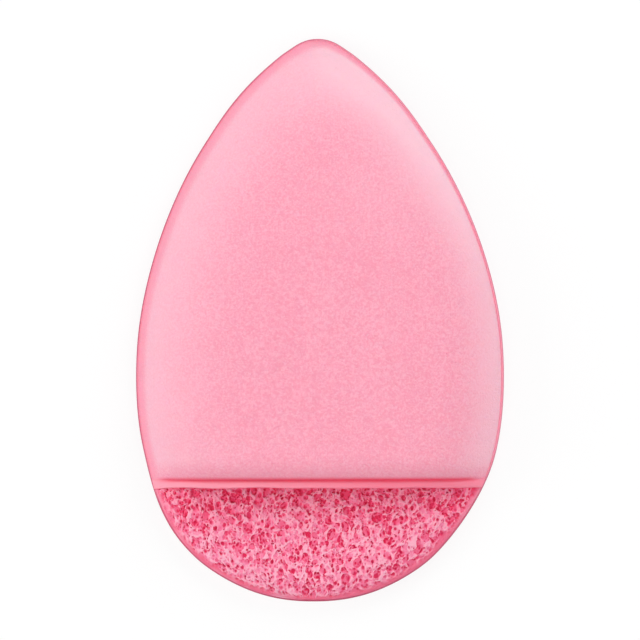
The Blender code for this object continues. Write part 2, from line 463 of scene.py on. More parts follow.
def skin_finish():
    """Matte, velvety, very fine-grained, and with painted highlight and shade from the attributes."""
    finish = Finish("velvet_foam_skin", Subsurface_Weight=0.2, Subsurface_Scale=0.0015,
                    Sheen_Weight=0.1, Sheen_Roughness=0.4, Specular_IOR_Level=0.3)
    mottle = finish.noise(MOTTLE_SIZE, detail=3.0)
    grain = finish.noise(GRAIN_SIZE, detail=3.0, roughness=0.7)
    pinhole = (1 - finish.cells(PINHOLE_SPACING) * PINHOLE_SHARPNESS).clamped() ** 3.0
    speck = (1 - finish.cells(SPECK_SPACING) * DOT_SHARPNESS).clamped()
    fleck = (1 - finish.cells(FLECK_SPACING) * DOT_SHARPNESS).clamped()
    dots = speck - fleck
    tone = (mottle * MOTTLE_TONE + grain * GRAIN_TONE + dots * DOT_TONE - TONE_SHIFT).clamped()
    colour = finish.blend(tone, PALE_PINK, SOFT_PINK)
    # Painted highlight: a paler pink on the cover's shoulders.
    colour = finish.blend(finish.attribute("shoulder_highlight"), colour, HIGHLIGHT_PINK)
    # A deeper pink at the rim and the mouth: partly pressed foam, partly painted shade.
    colour = finish.blend(finish.attribute("pressed_and_shade"), colour, EDGE_PINK)
    # A rose line: pressed foam and painted shade in the crease, and painted shade along the left edge.
    colour = finish.blend(finish.attribute("crease"), colour, CREASE_SHADE_ROSE)
    height = grain * GRAIN_RELIEF - pinhole * PINHOLE_RELIEF + mottle * MOTTLE_RELIEF - dots * DOT_RELIEF
    return finish.surface(colour, 0.55 + grain * 0.18, height, SKIN_RELIEF)


velvet_skin = skin_finish()
print("skin nodes:", len(velvet_skin.node_tree.nodes))

# %% [markdown]
# ## The colours of the sponge
# The pores are real hollows in the mesh, but a hollow of one colour doesn't get as rose as light makes
# it that bounces about in real foam. So the mesh stores how deep each point lies, and the finish goes
# from pale struts through pink cells to rose pores by that depth.

# %% The open sponge
PORE_CONTRAST = 3.2
HEM_SHADOW_SHARE = 0.3
PRESSED_MOTTLE, PRESSED_SHIFT = 2.4, 0.15
CELL_MOTTLE = 0.2
SPONGE_GRAIN_SIZE = 0.00035
SPONGE_MOTTLE_SIZE = 0.006
SPONGE_RELIEF = 0.00012


def sponge_finish():
    """Struts are pale and pores rose, by the depth that the mesh itself carries."""
    finish = Finish("open_cell_sponge", Subsurface_Weight=0.6, Subsurface_Scale=0.0007,
                    Subsurface_Radius=FOAM_GLOW, Specular_IOR_Level=0.15)
    pore = finish.attribute("pore") * PORE_CONTRAST
    grain = finish.noise(SPONGE_GRAIN_SIZE, detail=3.0, roughness=0.65)
    mottle = finish.noise(SPONGE_MOTTLE_SIZE)
    pressed_and_shade = finish.attribute("pressed_and_shade") * (mottle * PRESSED_MOTTLE - PRESSED_SHIFT).clamped()
    colour = finish.blend(pore.clamped(), STRUT_PINK, CELL_PINK)
    colour = finish.blend((pore - 1.0).clamped(), colour, PORE_ROSE)
    # Painted shadow of the cover on the bare sponge, rose and strongest beneath the hem.
    colour = finish.blend(finish.attribute("near_hem") * HEM_SHADOW_SHARE, colour, HEM_SHADOW_ROSE)
    # The compressed edge, in a pink that is partly painted shade.
    colour = finish.blend(pressed_and_shade, colour, PRESSED_SHADE_PINK)
    colour = finish.blend(mottle * CELL_MOTTLE, colour, CELL_PINK)
    return finish.surface(colour, 0.65 + grain * 0.2, grain, SPONGE_RELIEF)


open_sponge = sponge_finish()
print("sponge nodes:", len(open_sponge.node_tree.nodes))

# %% [markdown]
# ## Pressed and hidden foam
# The rim and the hem are the same foam, melted and pressed until it is firm and slightly glossy. The
# padding and the lining are softer and hardly seen. The four differ in little but colour, gloss and
# grain, so one function makes them all.

# %% Pressed and hidden foam
CLOUD_SIZE = 0.004
CLOUD_TONE, GRAIN_SHARE = 0.7, 0.3
CLOUD_RELIEF = 0.5


def pressed_finish(name, first, second, roughness, grain_size, relief, deepest=CREASE_SHADE_ROSE):
    """Foam between two pinks, deepened by compressed foam and by painted shade, which is deepest of all."""
    finish = Finish(name, Subsurface_Weight=0.4, Subsurface_Scale=0.0009,
                    Subsurface_Radius=FOAM_GLOW, Specular_IOR_Level=0.4)
    cloud = finish.noise(CLOUD_SIZE)
    grain = finish.noise(grain_size, roughness=0.6)
    colour = finish.blend(cloud * CLOUD_TONE + grain * GRAIN_SHARE, first, second)
    # Compressed foam, and painted shade on the hem's right side and along the rim's tail.
    colour = finish.blend(finish.attribute("pressed_and_shade"), colour, PRESSED_SHADE_PINK)
    # Painted shade in the crease and on edges turned from the light; on the rim, partly melted foam too.
    colour = finish.blend(finish.attribute("crease"), colour, deepest)
    return finish.surface(colour, roughness - 0.05 + grain * 0.1, grain + cloud * CLOUD_RELIEF, relief)


fused_foam = pressed_finish("fused_rim_foam", RIM_PINK, RIM_PALE_PINK, roughness=0.5,
                            grain_size=0.0006, relief=0.00005, deepest=FUSED_SHADE_ROSE)
hem_foam = pressed_finish("pressed_hem_foam", HEM_PINK, HEM_PALE_PINK, roughness=0.5,
                          grain_size=0.0005, relief=0.00004)
lining_film = pressed_finish("pocket_lining_film", PALE_PINK, SOFT_PINK, roughness=0.7,
                             grain_size=0.0004, relief=0.00004)
core_foam = pressed_finish("soft_core_foam", PALE_PINK, STRUT_PINK, roughness=0.85,
                           grain_size=0.0005, relief=0.00015)
print("foam finishes:", [finish.name for finish in (fused_foam, hem_foam, lining_film, core_foam)])

# %% [markdown]
# ## The sponge
# Open-cell foam is a pack of round bubbles, large and small, with small round windows where two of them
# meet. A picture of pores would look flat from the side, and cutting thousands of bubbles out of a mesh
# takes too long. Here each point of a fine mesh asks which bubble is cut open there and moves down to
# its floor, and through a window in that floor if it lies over one. The bubbles come from Voronoi noise:
# its scattered points are their middles, and the way to the nearest other point gives their size.

# %% Bubbles in foam
BUBBLES = ((0.0020, 1.15), (0.0012, 1.4), (0.0008, 1.45), (0.0005, 1.5))
WINDOWS = ((0.0009, 1.2), (0.0006, 1.2))
BUBBLE_STRETCH = 1.25
NEAREST_BUBBLES = 3
LARGEST_SHARE = 0.62


@functools.cache
def bubble_radius(middle):
    """Half the way to the nearest other middle, in shares of the spacing."""
    return noise.voronoi(middle)[0][1] / 2


def way_through(place, inward, bubbles, variety):
    """How far a line runs inside the bubbles that hold a place, to the lowest of their floors."""
    furthest = 0.0
    for number, (size, crowding) in enumerate(bubbles):
        here = Vector((place.x, place.y / BUBBLE_STRETCH, place.z)) / size + variety * (1 + number)
        for middle in noise.voronoi(here)[1][:NEAREST_BUBBLES]:
            radius = min(bubble_radius(middle.freeze()) * crowding, LARGEST_SHARE)
            away = here - middle
            inside = radius ** 2 - away.length_squared
            if inside > 0:
                along = away.dot(inward)
                furthest = max(furthest, (math.sqrt(inside + along ** 2) - along) * size)
    return furthest


print("a bubble's radius, in shares of the spacing:", round(bubble_radius(Vector((1, 1, 1)).freeze()), 2))


# %% The depth of a pore
BUBBLE_VARIETY = 0.3
VARIETY_SIZE = 0.0040
WINDOW_SHIFT = 1.3
FOAM_WALL = 0.0001
LEAST_PIT = 0.00015
PIT_FLATNESS = 0.55
DEEPEST_PIT = 0.0005
PORE_DEPTH = 0.0012
SEED = Vector((11.3, 4.7, 8.1))


def pore_depth(place, inward):
    """How far in from the surface the foam lies, at the floor of a bubble or of the next one."""
    drift = [noise.noise(place / VARIETY_SIZE + SEED * axis) for axis in range(3)]
    variety = Vector(drift) * BUBBLE_VARIETY + SEED
    pit = way_through(place, inward, BUBBLES, variety)
    if pit < LEAST_PIT:
        return pit * PIT_FLATNESS
    floor_of_pit = place + inward * (pit + FOAM_WALL)
    window = way_through(floor_of_pit, inward, WINDOWS, variety * WINDOW_SHIFT)
    return min(min(pit * PIT_FLATNESS, DEEPEST_PIT) + window, PORE_DEPTH)


trial = [pore_depth(Vector((number * 0.001, 0, 0)), Vector((0, 0, -1))) for number in range(12)]
print("a few pore depths, mm:", [round(depth * 1000, 2) for depth in trial])

# %% [markdown]
# ## The slab under the pores
# The sponge is a crowned slab: flat where it rests, rounded up to the rim below, and swollen above. It
# is closed by the press all round, so the pores fade out at the edge. Its mesh is very fine where the
# sponge is bare, fine below, and coarse where the cover hides it, which keeps it within bounds.

# %% The sponge's form
SPONGE_THICKNESS = sponge_high.z
SPONGE_EDGE_HEIGHT = 0.0032
SPONGE_EDGE_TOP = SPONGE_EDGE_HEIGHT + 0.0012
SPONGE_SHOULDER = 0.0084
SPONGE_FOOT = 0.0064
SPONGE_STEEPNESS = 0.85
FLOOR_GAP = 0.00004
FUSED_INSET = 0.0003
fused_plan = Plan(FUSED_INSET)


def sponge_top(depth, x, y):
    rise = SPONGE_THICKNESS - SPONGE_EDGE_TOP
    return SPONGE_EDGE_TOP + rise * swell(depth / SPONGE_SHOULDER, SPONGE_STEEPNESS)


def sponge_underside(depth, x, y):
    return FLOOR_GAP + (SPONGE_EDGE_HEIGHT - FLOOR_GAP) * (1 - swell(depth / SPONGE_FOOT, SPONGE_STEEPNESS))


print("sponge at its middle, mm:", round(float(sponge_top(HALF_WIDTH, 0, 0)) * 1000, 2))

# %% The sponge's mesh
FINE_STEP = 0.00012
UNDER_STEP = 0.00028
HIDDEN_STEP = 0.0016
HIDDEN_CROWD = 0.3
COLUMN_STRETCH = 1.15
SPONGE_CROWD = 0.15
BARE_BEYOND_CREASE = 0.006
END_GAP = 0.00006
END_ROWS = np.array([0, 0.0001, 0.00025, 0.0004])


def sponge_mesh():
    """The crowned slab, with rows and columns that are finest where it is bare."""
    low, high = fused_plan.low + END_GAP, fused_plan.high - END_GAP
    bare_end = CREASE_Y + BARE_BEYOND_CREASE
    top_rows = joined(low + END_ROWS,
                      rows_between(low + END_ROWS[-1], bare_end, FINE_STEP),
                      spread(bare_end, high, round((high - bare_end) / HIDDEN_STEP), HIDDEN_CROWD))
    under_rows = joined(low + END_ROWS,
                        rows_between(low + END_ROWS[-1], high - END_ROWS[-1], UNDER_STEP),
                        high - END_ROWS[::-1])
    top_columns = round(2 * HALF_WIDTH / (FINE_STEP * COLUMN_STRETCH))
    under_columns = round(2 * HALF_WIDTH / UNDER_STEP)
    return layer_mesh("bare_sponge", fused_plan, (top_rows, top_columns, sponge_top),
                      (under_rows, under_columns, sponge_underside), SPONGE_CROWD)


sponge, sponge_is_top = sponge_mesh()
print("sponge grid:", len(sponge.vertices), "points")

# %% Painting the sponge
BAND_START, BAND_WIDTH = 0.0003, 0.0013
BAND_AT_MOUTH = 0.4
BAND_FADE_LENGTH = 0.010
NEAR_HEM_LENGTH = 0.0125
HEM_SHADE, HEM_SHADE_LENGTH = 1.2, 0.0008


def paint_sponge(mesh, is_top, depths):
    """Stores how deep each point lies, where the foam is compressed, and a painted shadow by the hem."""
    places = coordinates(mesh)
    below_mouth = FREE_Y - places[:, 1]
    inside = fused_plan.depth(places[:, 0], places[:, 1])
    band = 1 - ease((inside - BAND_START) / BAND_WIDTH)
    band *= BAND_AT_MOUTH + (1 - BAND_AT_MOUTH) * ease(below_mouth / BAND_FADE_LENGTH)
    # Painted shadow of the cover near the mouth, and a darker one just beneath the hem.
    near_hem = 1 - ease(below_mouth / NEAR_HEM_LENGTH)
    beneath_hem = 1 - ease(below_mouth / HEM_SHADE_LENGTH)
    paint(mesh, "pore", depths / PORE_DEPTH)
    paint(mesh, "pressed_and_shade", band)
    paint(mesh, "near_hem", (near_hem + HEM_SHADE * beneath_hem) * is_top)


# %% Opening the pores
PORES_START, PORES_FADE = 0.0002, 0.0008
LEAST_SOFTNESS = 0.01
PORES_BEYOND_CREASE = 0.012
SHELTER_GAIN = 0.38
FLATTENING = 0.65
WEB_ROUNDING = 0.3


def pore_depths(mesh, is_top):
    """How far in each point has to move, which is less on the pressed edge and nothing where hidden."""
    places, normals = coordinates(mesh), directions(mesh)
    inside = fused_plan.depth(places[:, 0], places[:, 1])
    softness = ease((inside - PORES_START) / PORES_FADE)
    hidden = is_top & (places[:, 1] > CREASE_Y + PORES_BEYOND_CREASE)
    depths = np.zeros(len(places))
    for index in np.nonzero((softness > LEAST_SOFTNESS) & ~hidden)[0]:
        depths[index] = pore_depth(Vector(places[index]), -Vector(normals[index]))
    print("mean pore depth, mm:", round(float(depths[~hidden].mean()) * 1000, 3))
    near_hem = 1 - ease((FREE_Y - places[:, 1]) / NEAR_HEM_LENGTH)
    return depths * softness * (1 + SHELTER_GAIN * near_hem)


def open_pores(mesh, depths):
    """Moves each point in to the wall of its pore and rounds the webs between the pores."""
    move_to(mesh, coordinates(mesh) - directions(mesh) * depths[:, None] * FLATTENING)
    bm = bmesh.new()
    bm.from_mesh(mesh)
    bmesh.ops.smooth_vert(bm, verts=bm.verts, factor=WEB_ROUNDING,
                          use_axis_x=True, use_axis_y=True, use_axis_z=True)
    bm.to_mesh(mesh)
    bm.free()


sponge_depths = pore_depths(sponge, sponge_is_top)
paint_sponge(sponge, sponge_is_top, sponge_depths)
open_pores(sponge, sponge_depths)
sponge.shade_flat()
sponge_piece = piece_from(sponge, "open_sponge", open_sponge, "sponge_body")

# %% [markdown]
# ## The cover
# Outside there is a thin velvety skin, inside a thin lining, and soft foam between them. All three run
# down to the fused rim, and at the mouth the cover rolls over and is pressed flat into a hem. A cloth
# simulation would suit a sewn bag, but this cover is moulded foam whose form comes from the press, so
# its swell, lip and waves are worked out from the distance to the rim.

# %% Heights that the cover's layers share
POCKET_HEIGHT = 0.0052
POCKET_SHOULDER = 0.0180
CREASE_HEIGHT = 0.0010
LINING_THICKNESS = 0.0004
SKIN_THICKNESS = 0.0005
RIM_TOP = 0.0049
EDGE_FILLET = 0.0002
SKIN_SHOULDER = 0.0118
SHOULDER_STEEPNESS, SHOULDER_SOFTNESS = 0.85, 2.6
ARCH_STEEPNESS = 0.95

CROWN_RISE = SPONGE_THICKNESS - SPONGE_EDGE_TOP + CLEARANCE + CREASE_HEIGHT
PADDING = skin_high.z - SPONGE_EDGE_TOP - CROWN_RISE - POCKET_HEIGHT


def pocket_ceiling(x, y):
    """Underside of the lining, as the engineering model has it."""
    depth = inner_plan.depth(x, y)
    climb = swell(depth / (SPONGE_SHOULDER - RIM_WIDTH + FUSED_INSET))
    rise = (SPONGE_THICKNESS - SPONGE_EDGE_TOP) * climb + CLEARANCE
    return SPONGE_EDGE_TOP + rise + POCKET_HEIGHT * swell(depth / POCKET_SHOULDER)


def shoulder(depth):
    """The cover's climb from the rim, which starts in a small hollow fillet."""
    past_fillet = depth - EDGE_FILLET * (1 - np.exp(-depth / EDGE_FILLET))
    return swell(past_fillet / SKIN_SHOULDER, SHOULDER_STEEPNESS, SHOULDER_SOFTNESS)


def crease_height(depth):
    """How high the cover's outside is where no padding lifts it: along the crease at the mouth."""
    rise = (CROWN_RISE - RIM_TOP + SPONGE_EDGE_TOP) * shoulder(depth)
    return RIM_TOP + rise + POCKET_HEIGHT * swell(depth / (POCKET_SHOULDER + RIM_WIDTH), ARCH_STEEPNESS)


print("padding at the crown, mm:", round(PADDING * 1000, 2))

# %% Waves and puckers
UNEVENNESS = 0.00022
WAVE_ACROSS, WAVE_ALONG, WAVE_SEED = 0.017, 0.021, 3.0
PUCKER_HEIGHT = 0.00012
PUCKER_ACROSS, PUCKER_ALONG, PUCKER_SEED = 0.0026, 0.012, 7.0
PUCKER_START, PUCKER_END = 0.0008, 0.009
LIP_LENGTH = 0.0040
CREASE_TILT = 0.0001


def unevenness(x, y):
    """Slow waves that no moulded foam is free of."""
    waves = [noise.noise(Vector((a / WAVE_ACROSS, b / WAVE_ALONG, WAVE_SEED))) for a, b in zip(x, y)]
    return np.array(waves) * UNEVENNESS


def puckers(x, y):
    """Small folds that run up from the crease, where the press gathers the foam."""
    folds = [noise.noise(Vector((a / PUCKER_ACROSS, b / PUCKER_ALONG, PUCKER_SEED))) for a, b in zip(x, y)]
    from_crease = y - CREASE_Y
    fade = ease(from_crease / PUCKER_START) * (1 - ease(from_crease / PUCKER_END))
    return np.array(folds) * PUCKER_HEIGHT * fade


def crease_tilt(x, y):
    """The crease isn't quite square to the drop: it lies a little higher on the right."""
    return CREASE_TILT * x / HALF_WIDTH * (1 - ease((y - CREASE_Y) / LIP_LENGTH))


print("tilt of the crease at the right, mm:", round(float(crease_tilt(HALF_WIDTH, CREASE_Y)) * 1000, 2))

# %% The cover's outer form
LIP_REACH = 0.0062
LIP_STEEPNESS, LIP_SOFTNESS = 0.52, 2.8
CALM_BORDER = 0.006
LIP_ROWS = 22
COVER_CROWD = 0.35


def skin_top(depth, x, y):
    """The outer form: it climbs steeply from the rim, crowns, and rolls down to the crease."""
    lip = swell((y - CREASE_Y) / LIP_REACH, LIP_STEEPNESS, LIP_SOFTNESS)
    calm = ease(depth / CALM_BORDER) * ease((y - CREASE_Y) / CALM_BORDER)
    padding = (PADDING * lip + puckers(x, y)) * shoulder(depth)
    return crease_height(depth) + padding + unevenness(x, y) * calm


def skin_under(depth, x, y):
    return skin_top(depth, x, y) - SKIN_THICKNESS


def cover_rows(plan, count, start):
    """Rows from the crease to the tip, close together where the lip rolls over."""
    lip_end = CREASE_Y + LIP_LENGTH
    lip = start + (lip_end - start) * (1 - np.cos(np.linspace(0, 1, LIP_ROWS) * QUARTER_TURN))
    return joined(lip, spread(lip_end, plan.high - END_GAP, count, COVER_CROWD))


middle_height = skin_top(np.array([HALF_WIDTH / 2]), np.zeros(1), np.zeros(1))[0]
print("cover at its middle, mm:", round(float(middle_height) * 1000, 2))


# %% [markdown]
# ## The skin
# The skin is what the eye meets. Its colours are partly how it was pressed and partly painted light: a
# deeper band where it meets the rim, wider on the left, which is pressed foam with painted shade on the
# steep side; a painted highlight inside that; painted shade on the lip above the mouth and along the left
# edge; and a rose line of pressed foam and painted shade in the crease. A painted picture could hold
# them, but numbers on the mesh's points stay sharp at any size.

# %% Where the skin is pressed, and where light and shade are painted on it
EDGE_BAND, EDGE_BAND_LEFT, EDGE_BAND_TIP = 0.0002, 0.0021, 0.0008
EDGE_BAND_TIP_LOSS = 0.3
EDGE_BAND_SHARPNESS = 1.5
ROLL_SHADE_SHARE, ROLL_SHADE_LENGTH = 0.3, 0.0045
CREASE_BAND = 0.0013
HIGHLIGHT_REACH, HIGHLIGHT_REACH_LEFT = 0.010, 0.005
HIGHLIGHT_GAIN, HIGHLIGHT_GAIN_RIGHT, HIGHLIGHT_GAIN_TIP = 0.5, 0.1, 0.75
HIGHLIGHT_START, HIGHLIGHT_RISE = 0.0005, 0.0040
TIP_SPLIT = 1.4
UPPER_HIGHLIGHT_GAIN, UPPER_Y, UPPER_REACH = 0.16, 0.029, 0.014
CREASE_STRENGTH, CREASE_LINE = 0.95, 0.0009
CREASE_END, CREASE_FADE = 0.0003, 0.0035
LEFT_SHADE_STRENGTH, LEFT_SHADE_WIDTH = 0.4, 0.0005
SKIN_INSET = 0.0004
skin_plan = Plan(SKIN_INSET)


def paint_skin(mesh):
    """Stores the compressed band with painted shade at rim and mouth, and a painted highlight beside it."""
    places = coordinates(mesh)
    x, y = places[:, 0], places[:, 1]
    inside = skin_plan.depth(x, y)
    from_crease = y - CREASE_Y
    left = leftness(x)
    tip = ease(y / skin_high.y)

    # Compressed foam at the rim, with painted shade on the steep side, widest on the left.
    band = EDGE_BAND + EDGE_BAND_LEFT * left * (1 - EDGE_BAND_TIP_LOSS * tip) + EDGE_BAND_TIP * tip
    past_band = ease((inside / band) ** EDGE_BAND_SHARPNESS)
    # Painted shade on the lip, where it rolls down to the crease.
    roll_shade = ROLL_SHADE_SHARE * (1 - ease(from_crease / ROLL_SHADE_LENGTH))
    pinched = 1 - ease(from_crease / CREASE_BAND)
    paint(mesh, "pressed_and_shade", np.maximum(1 - past_band, np.maximum(roll_shade, pinched)))

    # Painted highlight inside the band, strongest towards the tip, and on the upper right.
    left_of_tip = ease(0.5 - x / (TIP_SPLIT * skin_plan.row(y)[0]))
    reach = HIGHLIGHT_REACH + HIGHLIGHT_REACH_LEFT * left * (1 - tip)
    gain = HIGHLIGHT_GAIN + HIGHLIGHT_GAIN_RIGHT * (1 - left) + HIGHLIGHT_GAIN_TIP * tip * (1 - left_of_tip)
    shoulder_highlight = gain * past_band * (1 - ease((inside - band) / reach))
    shoulder_highlight *= ease((from_crease - HIGHLIGHT_START) / HIGHLIGHT_RISE)
    upper_highlight = UPPER_HIGHLIGHT_GAIN * (1 - left) * hump(y, UPPER_Y, UPPER_REACH)
    paint(mesh, "shoulder_highlight", shoulder_highlight + upper_highlight * (1 - shoulder_highlight))

    # Painted shade: a rose line in the crease and a thin dark line along the left edge.
    crease = CREASE_STRENGTH * (1 - ease(from_crease / CREASE_LINE))
    crease *= ease((inside - CREASE_END) / CREASE_FADE)
    left_shade = LEFT_SHADE_STRENGTH * left * (1 - ease(inside / LEFT_SHADE_WIDTH))
    paint(mesh, "crease", np.maximum(crease, left_shade))


# %% The skin's mesh
SKIN_ROWS, SKIN_COLUMNS, SKIN_CROWD = 200, 190, 0.6
COVER_LEAN = 0.00012

skin_rows = cover_rows(skin_plan, SKIN_ROWS, CREASE_Y + CLEARANCE / 2)
skin_mesh, _ = layer_mesh("cover_outer_skin", skin_plan, (skin_rows, SKIN_COLUMNS, skin_top),
                          (skin_rows, SKIN_COLUMNS, skin_under), SKIN_CROWD)
paint_skin(skin_mesh)
skin_places = coordinates(skin_mesh)
skin_places[:, 0] -= COVER_LEAN
skin_places[:, 1] += crease_tilt(skin_places[:, 0], skin_places[:, 1])
move_to(skin_mesh, skin_places)
piece_from(skin_mesh, "smooth_skin", velvet_skin, "cover_skin")

# %% [markdown]
# ## The padding and the lining
# Only the mouth gives a glimpse of them: the padding fills the room between the skin and the lining, and
# the lining is an even film. Both could be left out, but the glove is then an empty shell when it is
# seen from the round end.

# %% The padding
PADDING_ROWS, PADDING_COLUMNS = 90, 90


def foam_underside(depth, x, y):
    return pocket_ceiling(x, y) + LINING_THICKNESS + CLEARANCE / 2


def foam_top(depth, x, y):
    """Just inside the skin, and never thinner than a gap's width above the underside."""
    outside = skin_top(skin_plan.depth(x, y), x, y) - SKIN_THICKNESS - CLEARANCE / 2
    return np.maximum(outside, foam_underside(depth, x, y) + CLEARANCE)


padding_rows = cover_rows(inner_plan, PADDING_ROWS, CREASE_Y + CLEARANCE)
padding_mesh, _ = layer_mesh("cover_padding", inner_plan, (padding_rows, PADDING_COLUMNS, foam_top),
                             (padding_rows, PADDING_COLUMNS, foam_underside))
padding_piece = piece_from(padding_mesh, "soft_foam", core_foam, "cover_foam")

# %% The lining
LINING_ROWS, LINING_COLUMNS = 130, 130


def lining_top(depth, x, y):
    return pocket_ceiling(x, y) + LINING_THICKNESS


def lining_underside(depth, x, y):
    return pocket_ceiling(x, y)


lining_rows = cover_rows(inner_plan, LINING_ROWS, CREASE_Y + CLEARANCE / 2)
lining_mesh, _ = layer_mesh("pocket_inner_lining", inner_plan, (lining_rows, LINING_COLUMNS, lining_top),
                            (lining_rows, LINING_COLUMNS, lining_underside))
piece_from(lining_mesh, "lining_film", lining_film, "pocket_lining")

# %% [markdown]
# ## The hem
# At the mouth the three layers of the cover are pressed into one thin strip. It has a hard crease on
# the inside and a rounded free edge. A strip swept along the mouth would have one section all the way,
# so it is a narrow layer again, with its thickness worked out from how far a point lies from the crease.

# %% The hem's section
HEM_GAIN = 0.00025
HEM_EDGE_SHARE = 0.25
HEM_ROUNDING = 0.00035
HEM_STEEPNESS = 0.6
CREASE_DEPTH = 0.0004
CREASE_WIDTH = 0.0011


def hem_underside(depth, x, y):
    return pocket_ceiling(x, y)


def hem_top(depth, x, y):
    """A shallow crease, then a flat band, then a rounded free edge."""
    crease = CREASE_DEPTH * (1 - ease((CREASE_Y + CLEARANCE - y) / CREASE_WIDTH))
    under = hem_underside(depth, x, y)
    full = crease_height(depth) + HEM_GAIN - crease - under
    roundness = swell((y - FREE_Y) / HEM_ROUNDING, HEM_STEEPNESS)
    return under + full * (HEM_EDGE_SHARE + (1 - HEM_EDGE_SHARE) * roundness)


print("hem at its middle, mm:", round(float(hem_top(HALF_WIDTH / 2, 0, FREE_Y + HEM_ROUNDING)) * 1000, 2))


# %% The pressed hem
HEM_ROWS, HEM_ROW_CROWD = 22, 0.8
HEM_COLUMNS, HEM_CROWD = 260, 0.4
HEM_WIDTH = CREASE_Y - FREE_Y
HEM_CREASE_STRENGTH, HEM_CREASE_END = 0.85, 0.0004
HEM_EDGE_STRENGTH, HEM_CORNER_GAIN, HEM_CORNER = 0.35, 0.5, 0.004
HEM_RIGHT_SHADE, HEM_RIGHT_SHADE_START, HEM_RIGHT_SHADE_LENGTH = 0.55, 0.7, 1.2
HEM_OVERHANG = 0.00012
HEM_DROOP, HEM_DROOP_LENGTH = 0.0005, 0.012
HEM_WAVES, HEM_WAVE_LENGTH, HEM_WAVE_SEED = 0.00025, 0.009, 5.0


def paint_hem(mesh):
    """Stores painted shade in the crease and along the free edge, and a deeper pink towards the right."""
    places = coordinates(mesh)
    x, y = places[:, 0], places[:, 1]
    inside = fused_plan.depth(x, y)
    # Painted shade in the crease and along the free edge, deepest near the rim.
    near_crease = ease((y - CREASE_Y + CREASE_WIDTH) / CREASE_WIDTH) ** 3
    near_crease *= ease((inside - HEM_CREASE_END) / CREASE_FADE)
    near_edge = HEM_EDGE_STRENGTH + HEM_CORNER_GAIN * (1 - ease(inside / HEM_CORNER))
    near_edge *= 1 - ease((y - FREE_Y) / (HEM_ROUNDING / 2))
    paint(mesh, "crease", np.maximum(HEM_CREASE_STRENGTH * near_crease, near_edge))
    # Painted shade that deepens towards the right, where less light falls.
    paint(mesh, "pressed_and_shade", HEM_RIGHT_SHADE * ease((x / HALF_WIDTH + HEM_RIGHT_SHADE_START) / HEM_RIGHT_SHADE_LENGTH))


def hang_hem(mesh):
    """Lets the free edge hang a little over the sponge, wavy, and lower at the left."""
    places = coordinates(mesh)
    x, y = places[:, 0], places[:, 1]
    droop = HEM_DROOP * (1 - ease((x + HALF_WIDTH) / HEM_DROOP_LENGTH))
    waves = [HEM_WAVES * noise.noise(Vector((a / HEM_WAVE_LENGTH, 0, HEM_WAVE_SEED))) for a in x]
    places[:, 1] -= (HEM_OVERHANG + droop + np.array(waves)) * np.clip((CREASE_Y - y) / HEM_WIDTH, 0, 1)
    places[:, 1] += crease_tilt(x, y) * np.clip((y - FREE_Y) / HEM_WIDTH, 0, 1)
    move_to(mesh, places)


hem_rows = spread(FREE_Y, CREASE_Y + CLEARANCE, HEM_ROWS, HEM_ROW_CROWD)
hem_mesh, _ = layer_mesh("pressed_mouth_hem", fused_plan, (hem_rows, HEM_COLUMNS, hem_top),
                         (hem_rows, HEM_COLUMNS, hem_underside), HEM_CROWD)
paint_hem(hem_mesh)
hang_hem(hem_mesh)
piece_from(hem_mesh, "pressed_hem", hem_foam, "mouth_hem")

# %% [markdown]
# ## The fused rim
# Heat has melted all the layers into one thin, firm bead round the drop. A bevelled curve would give it
# the same section everywhere, but the bead is higher where it holds the cover. So a circle from
# `create_circle` is set at each of many stations round the outline, squashed to the section there, and
# `bridge_loops` joins it to the next one and closes the ring.

# %% Stations round the outline
RIM_STATIONS = 640
RIM_SECTION = 12


def rim_stations():
    """Evenly spaced places round the outline, with the direction that each faces."""
    steps = np.concatenate([[0], np.cumsum(np.linalg.norm(np.diff(OUTLINE, axis=0), axis=1))])
    even = (np.arange(RIM_STATIONS // 2) + 0.5) / (RIM_STATIONS // 2) * steps[-1]
    columns = [np.interp(even, steps, values) for values in (*OUTLINE.T, *FACING.T)]
    right = np.stack(columns, 1)
    left = right[::-1] * [-1, 1, -1, 1]
    return np.concatenate([right, left])


print("rim stations:", len(rim_stations()))

# %% The bead
BEAD_WIDTH = 0.0007
BEAD_HALF_HEIGHT = 0.0006
BEAD_COVER_GAIN = 0.00025
BEAD_WOBBLE, WOBBLE_SIZE = 0.00005, 0.004


def section_matrix(x, y, face_x, face_y):
    """Sets a circle of radius 1 upright at a station, with its first point outermost, and squashes it."""
    gain = BEAD_COVER_GAIN * ease((y - FREE_Y) / LIP_LENGTH)
    wobble = BEAD_WOBBLE * noise.noise(Vector((x / WOBBLE_SIZE, y / WOBBLE_SIZE, 0)))
    outward = Vector((face_x, face_y, 0)) * BEAD_WIDTH / 2
    upward = Vector((0, 0, BEAD_HALF_HEIGHT + gain + wobble))
    middle = Vector((x + float(lean(y)), y, (SPONGE_EDGE_HEIGHT + SPONGE_EDGE_TOP) / 2 + gain)) - outward
    columns = (-upward, outward, outward.cross(upward), middle)
    return Matrix([(*column, is_place) for column, is_place in zip(columns, (0, 0, 0, 1))]).transposed()


def rim_bead():
    bm = bmesh.new()
    loops = []
    for station in rim_stations():
        made = bmesh.ops.create_circle(bm, segments=RIM_SECTION, radius=1,
                                       matrix=section_matrix(*station))
        loops.append(list(dict.fromkeys(edge for vert in made["verts"] for edge in vert.link_edges)))
    for loop, following in zip(loops, loops[1:] + loops[:1]):
        bmesh.ops.bridge_loops(bm, edges=loop + following)
    bmesh.ops.recalc_face_normals(bm, faces=bm.faces)
    mesh = bpy.data.meshes.new("fused_rim")
    bm.to_mesh(mesh)
    bm.free()
    mesh.shade_smooth()
    return mesh


rim_mesh = rim_bead()
print("rim sections:", len(rim_mesh.vertices) // RIM_SECTION)

